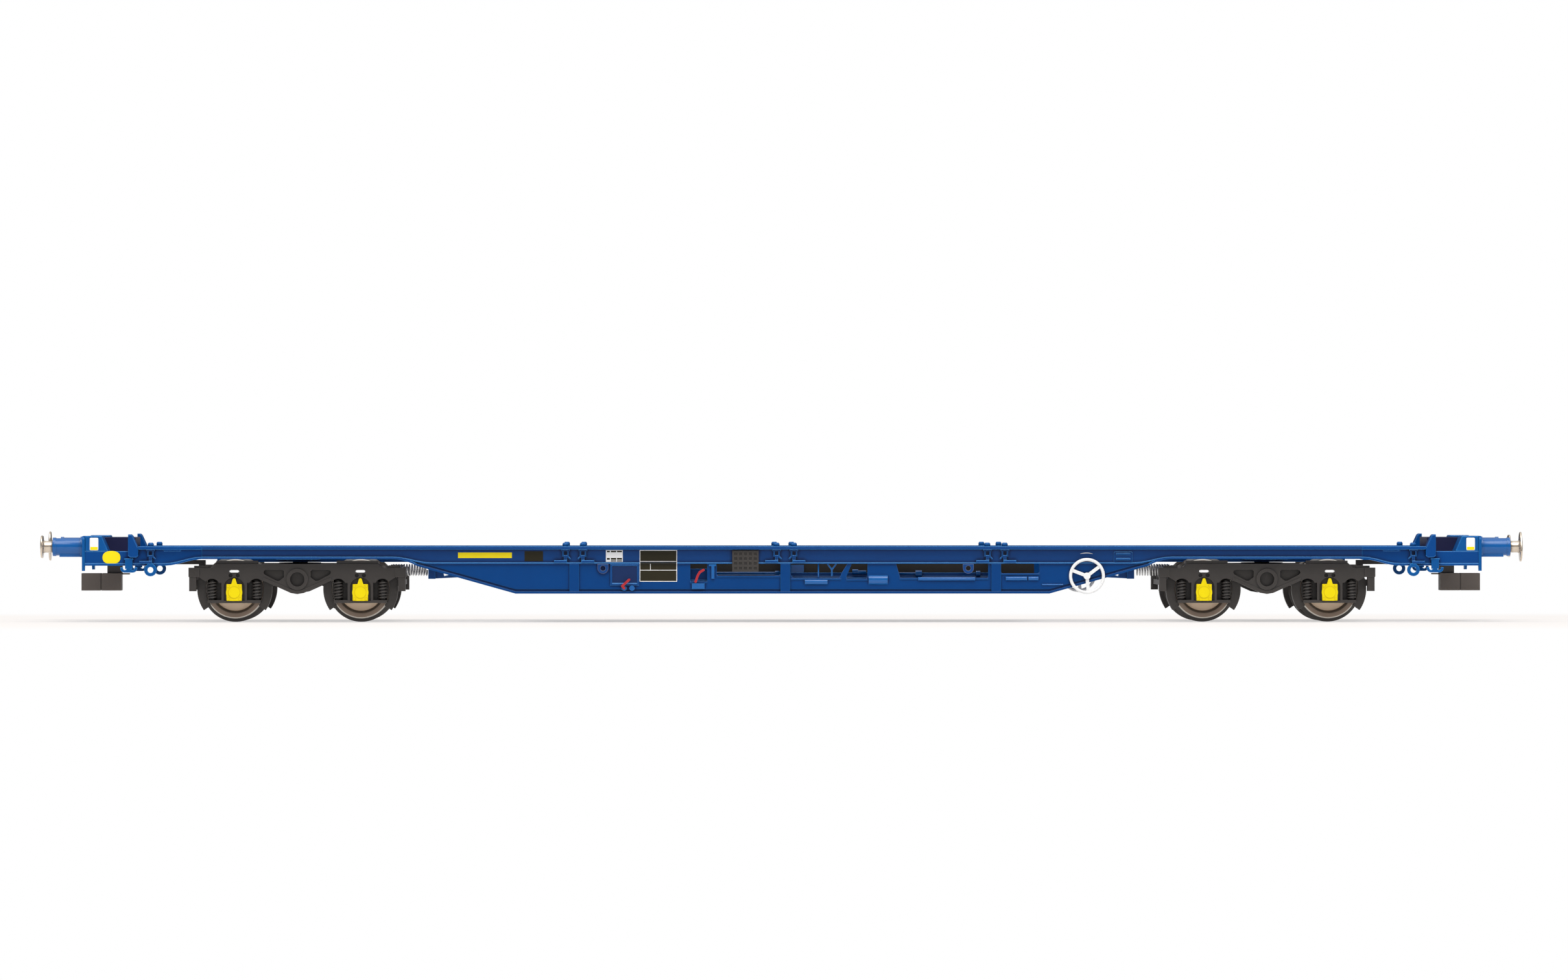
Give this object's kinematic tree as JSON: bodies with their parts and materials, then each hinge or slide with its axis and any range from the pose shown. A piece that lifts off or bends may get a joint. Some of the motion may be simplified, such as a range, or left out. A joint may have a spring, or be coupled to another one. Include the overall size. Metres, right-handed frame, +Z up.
{
  "type": "model container flat wagon",
  "caption": "Small-scale model of a bogie container flat wagon with fishbelly side girders, container spigots, sprung bogies that swivel and wheels that turn.",
  "frame": {"origin": "on the ground under the middle of the wagon, where the wheel flanges stand", "axes": "+X along the wagon to the right of the picture, -Y towards its viewer, +Z up"},
  "size_m": [0.2816, 0.0336, 0.0171],
  "materials": {
    "blue": "satin painted",
    "black": "matt moulded",
    "yellow": "satin painted",
    "red": "satin painted",
    "white": "satin painted",
    "wheel_metal": "turned, chemically darkened",
    "axle_steel": "turned",
    "buffer_metal": "turned bright",
    "spring_steel": "bright wire",
    "ballast": "matt black"
  },
  "bodies": {
    "wagon": {"girder_near": "blue", "girder_far": "blue", "belly_near": "blue", "belly_far": "blue", "girder_ends": "blue", "centre_sill": "blue", "cross_bearers": "blue", "bolsters": "blue", "pivot_screws": "axle_steel", "headstocks": "blue", "corner_blocks": "blue", "end_boxes": "blue", "container_guides": "blue", "spigots": "blue", "spigot_brackets": "blue", "buffer_housings": "blue", "buffer_heads": "buffer_metal", "rope_hooks": "blue", "tie_rings": "blue", "lashing_eyes": "blue", "step_plates": "blue", "access_panels": "blue", "panel_valves": "blue", "release_levers": "red", "mesh_clips": "black", "handwheels": "white", "brake_shaft": "blue", "brake_cylinders": "blue", "brake_pipes": "blue", "ballast_weight": "ballast", "spring_brackets": "blue", "spring_left": "spring_steel", "spring_right": "spring_steel"},
    "bogie_left": {"bogie_left_frames": "black", "bogie_left_transom": "black", "bogie_left_brakes": "black", "bogie_left_covers": "yellow", "bogie_left_springs": "black", "bogie_left_arm": "black", "bogie_left_pocket": "black"},
    "bogie_right": {"bogie_right_frames": "black", "bogie_right_transom": "black", "bogie_right_brakes": "black", "bogie_right_covers": "yellow", "bogie_right_springs": "black", "bogie_right_arm": "black", "bogie_right_pocket": "black"},
    "wheelset_1": {"wheels_1": "wheel_metal", "axle_1": "axle_steel"},
    "wheelset_2": {"wheels_2": "wheel_metal", "axle_2": "axle_steel"},
    "wheelset_3": {"wheels_3": "wheel_metal", "axle_3": "axle_steel"},
    "wheelset_4": {"wheels_4": "wheel_metal", "axle_4": "axle_steel"}
  },
  "joints": [
    {"name": "bogie_left_swivel", "type": "hinge", "parent": "wagon", "child": "bogie_left", "pos_m": [-0.092, 0, 0.0114], "axis": [0, 0, 1], "range_deg": [-12, 12], "stiffness_Nm_per_rad": 0.001, "deforming": ["spring_left"]},
    {"name": "bogie_right_swivel", "type": "hinge", "parent": "wagon", "child": "bogie_right", "pos_m": [0.092, 0, 0.0114], "axis": [0, 0, 1], "range_deg": [-12, 12], "stiffness_Nm_per_rad": 0.001, "deforming": ["spring_right"]},
    {"name": "wheelset_1_spin", "type": "hinge", "parent": "bogie_left", "child": "wheelset_1", "pos_m": [-0.10395, 0, 0.0063], "axis": [0, 1, 0], "continuous": true},
    {"name": "wheelset_2_spin", "type": "hinge", "parent": "bogie_left", "child": "wheelset_2", "pos_m": [-0.08005, 0, 0.0063], "axis": [0, 1, 0], "continuous": true},
    {"name": "wheelset_3_spin", "type": "hinge", "parent": "bogie_right", "child": "wheelset_3", "pos_m": [0.08005, 0, 0.0063], "axis": [0, 1, 0], "continuous": true},
    {"name": "wheelset_4_spin", "type": "hinge", "parent": "bogie_right", "child": "wheelset_4", "pos_m": [0.10395, 0, 0.0063], "axis": [0, 1, 0], "continuous": true}
  ]
}
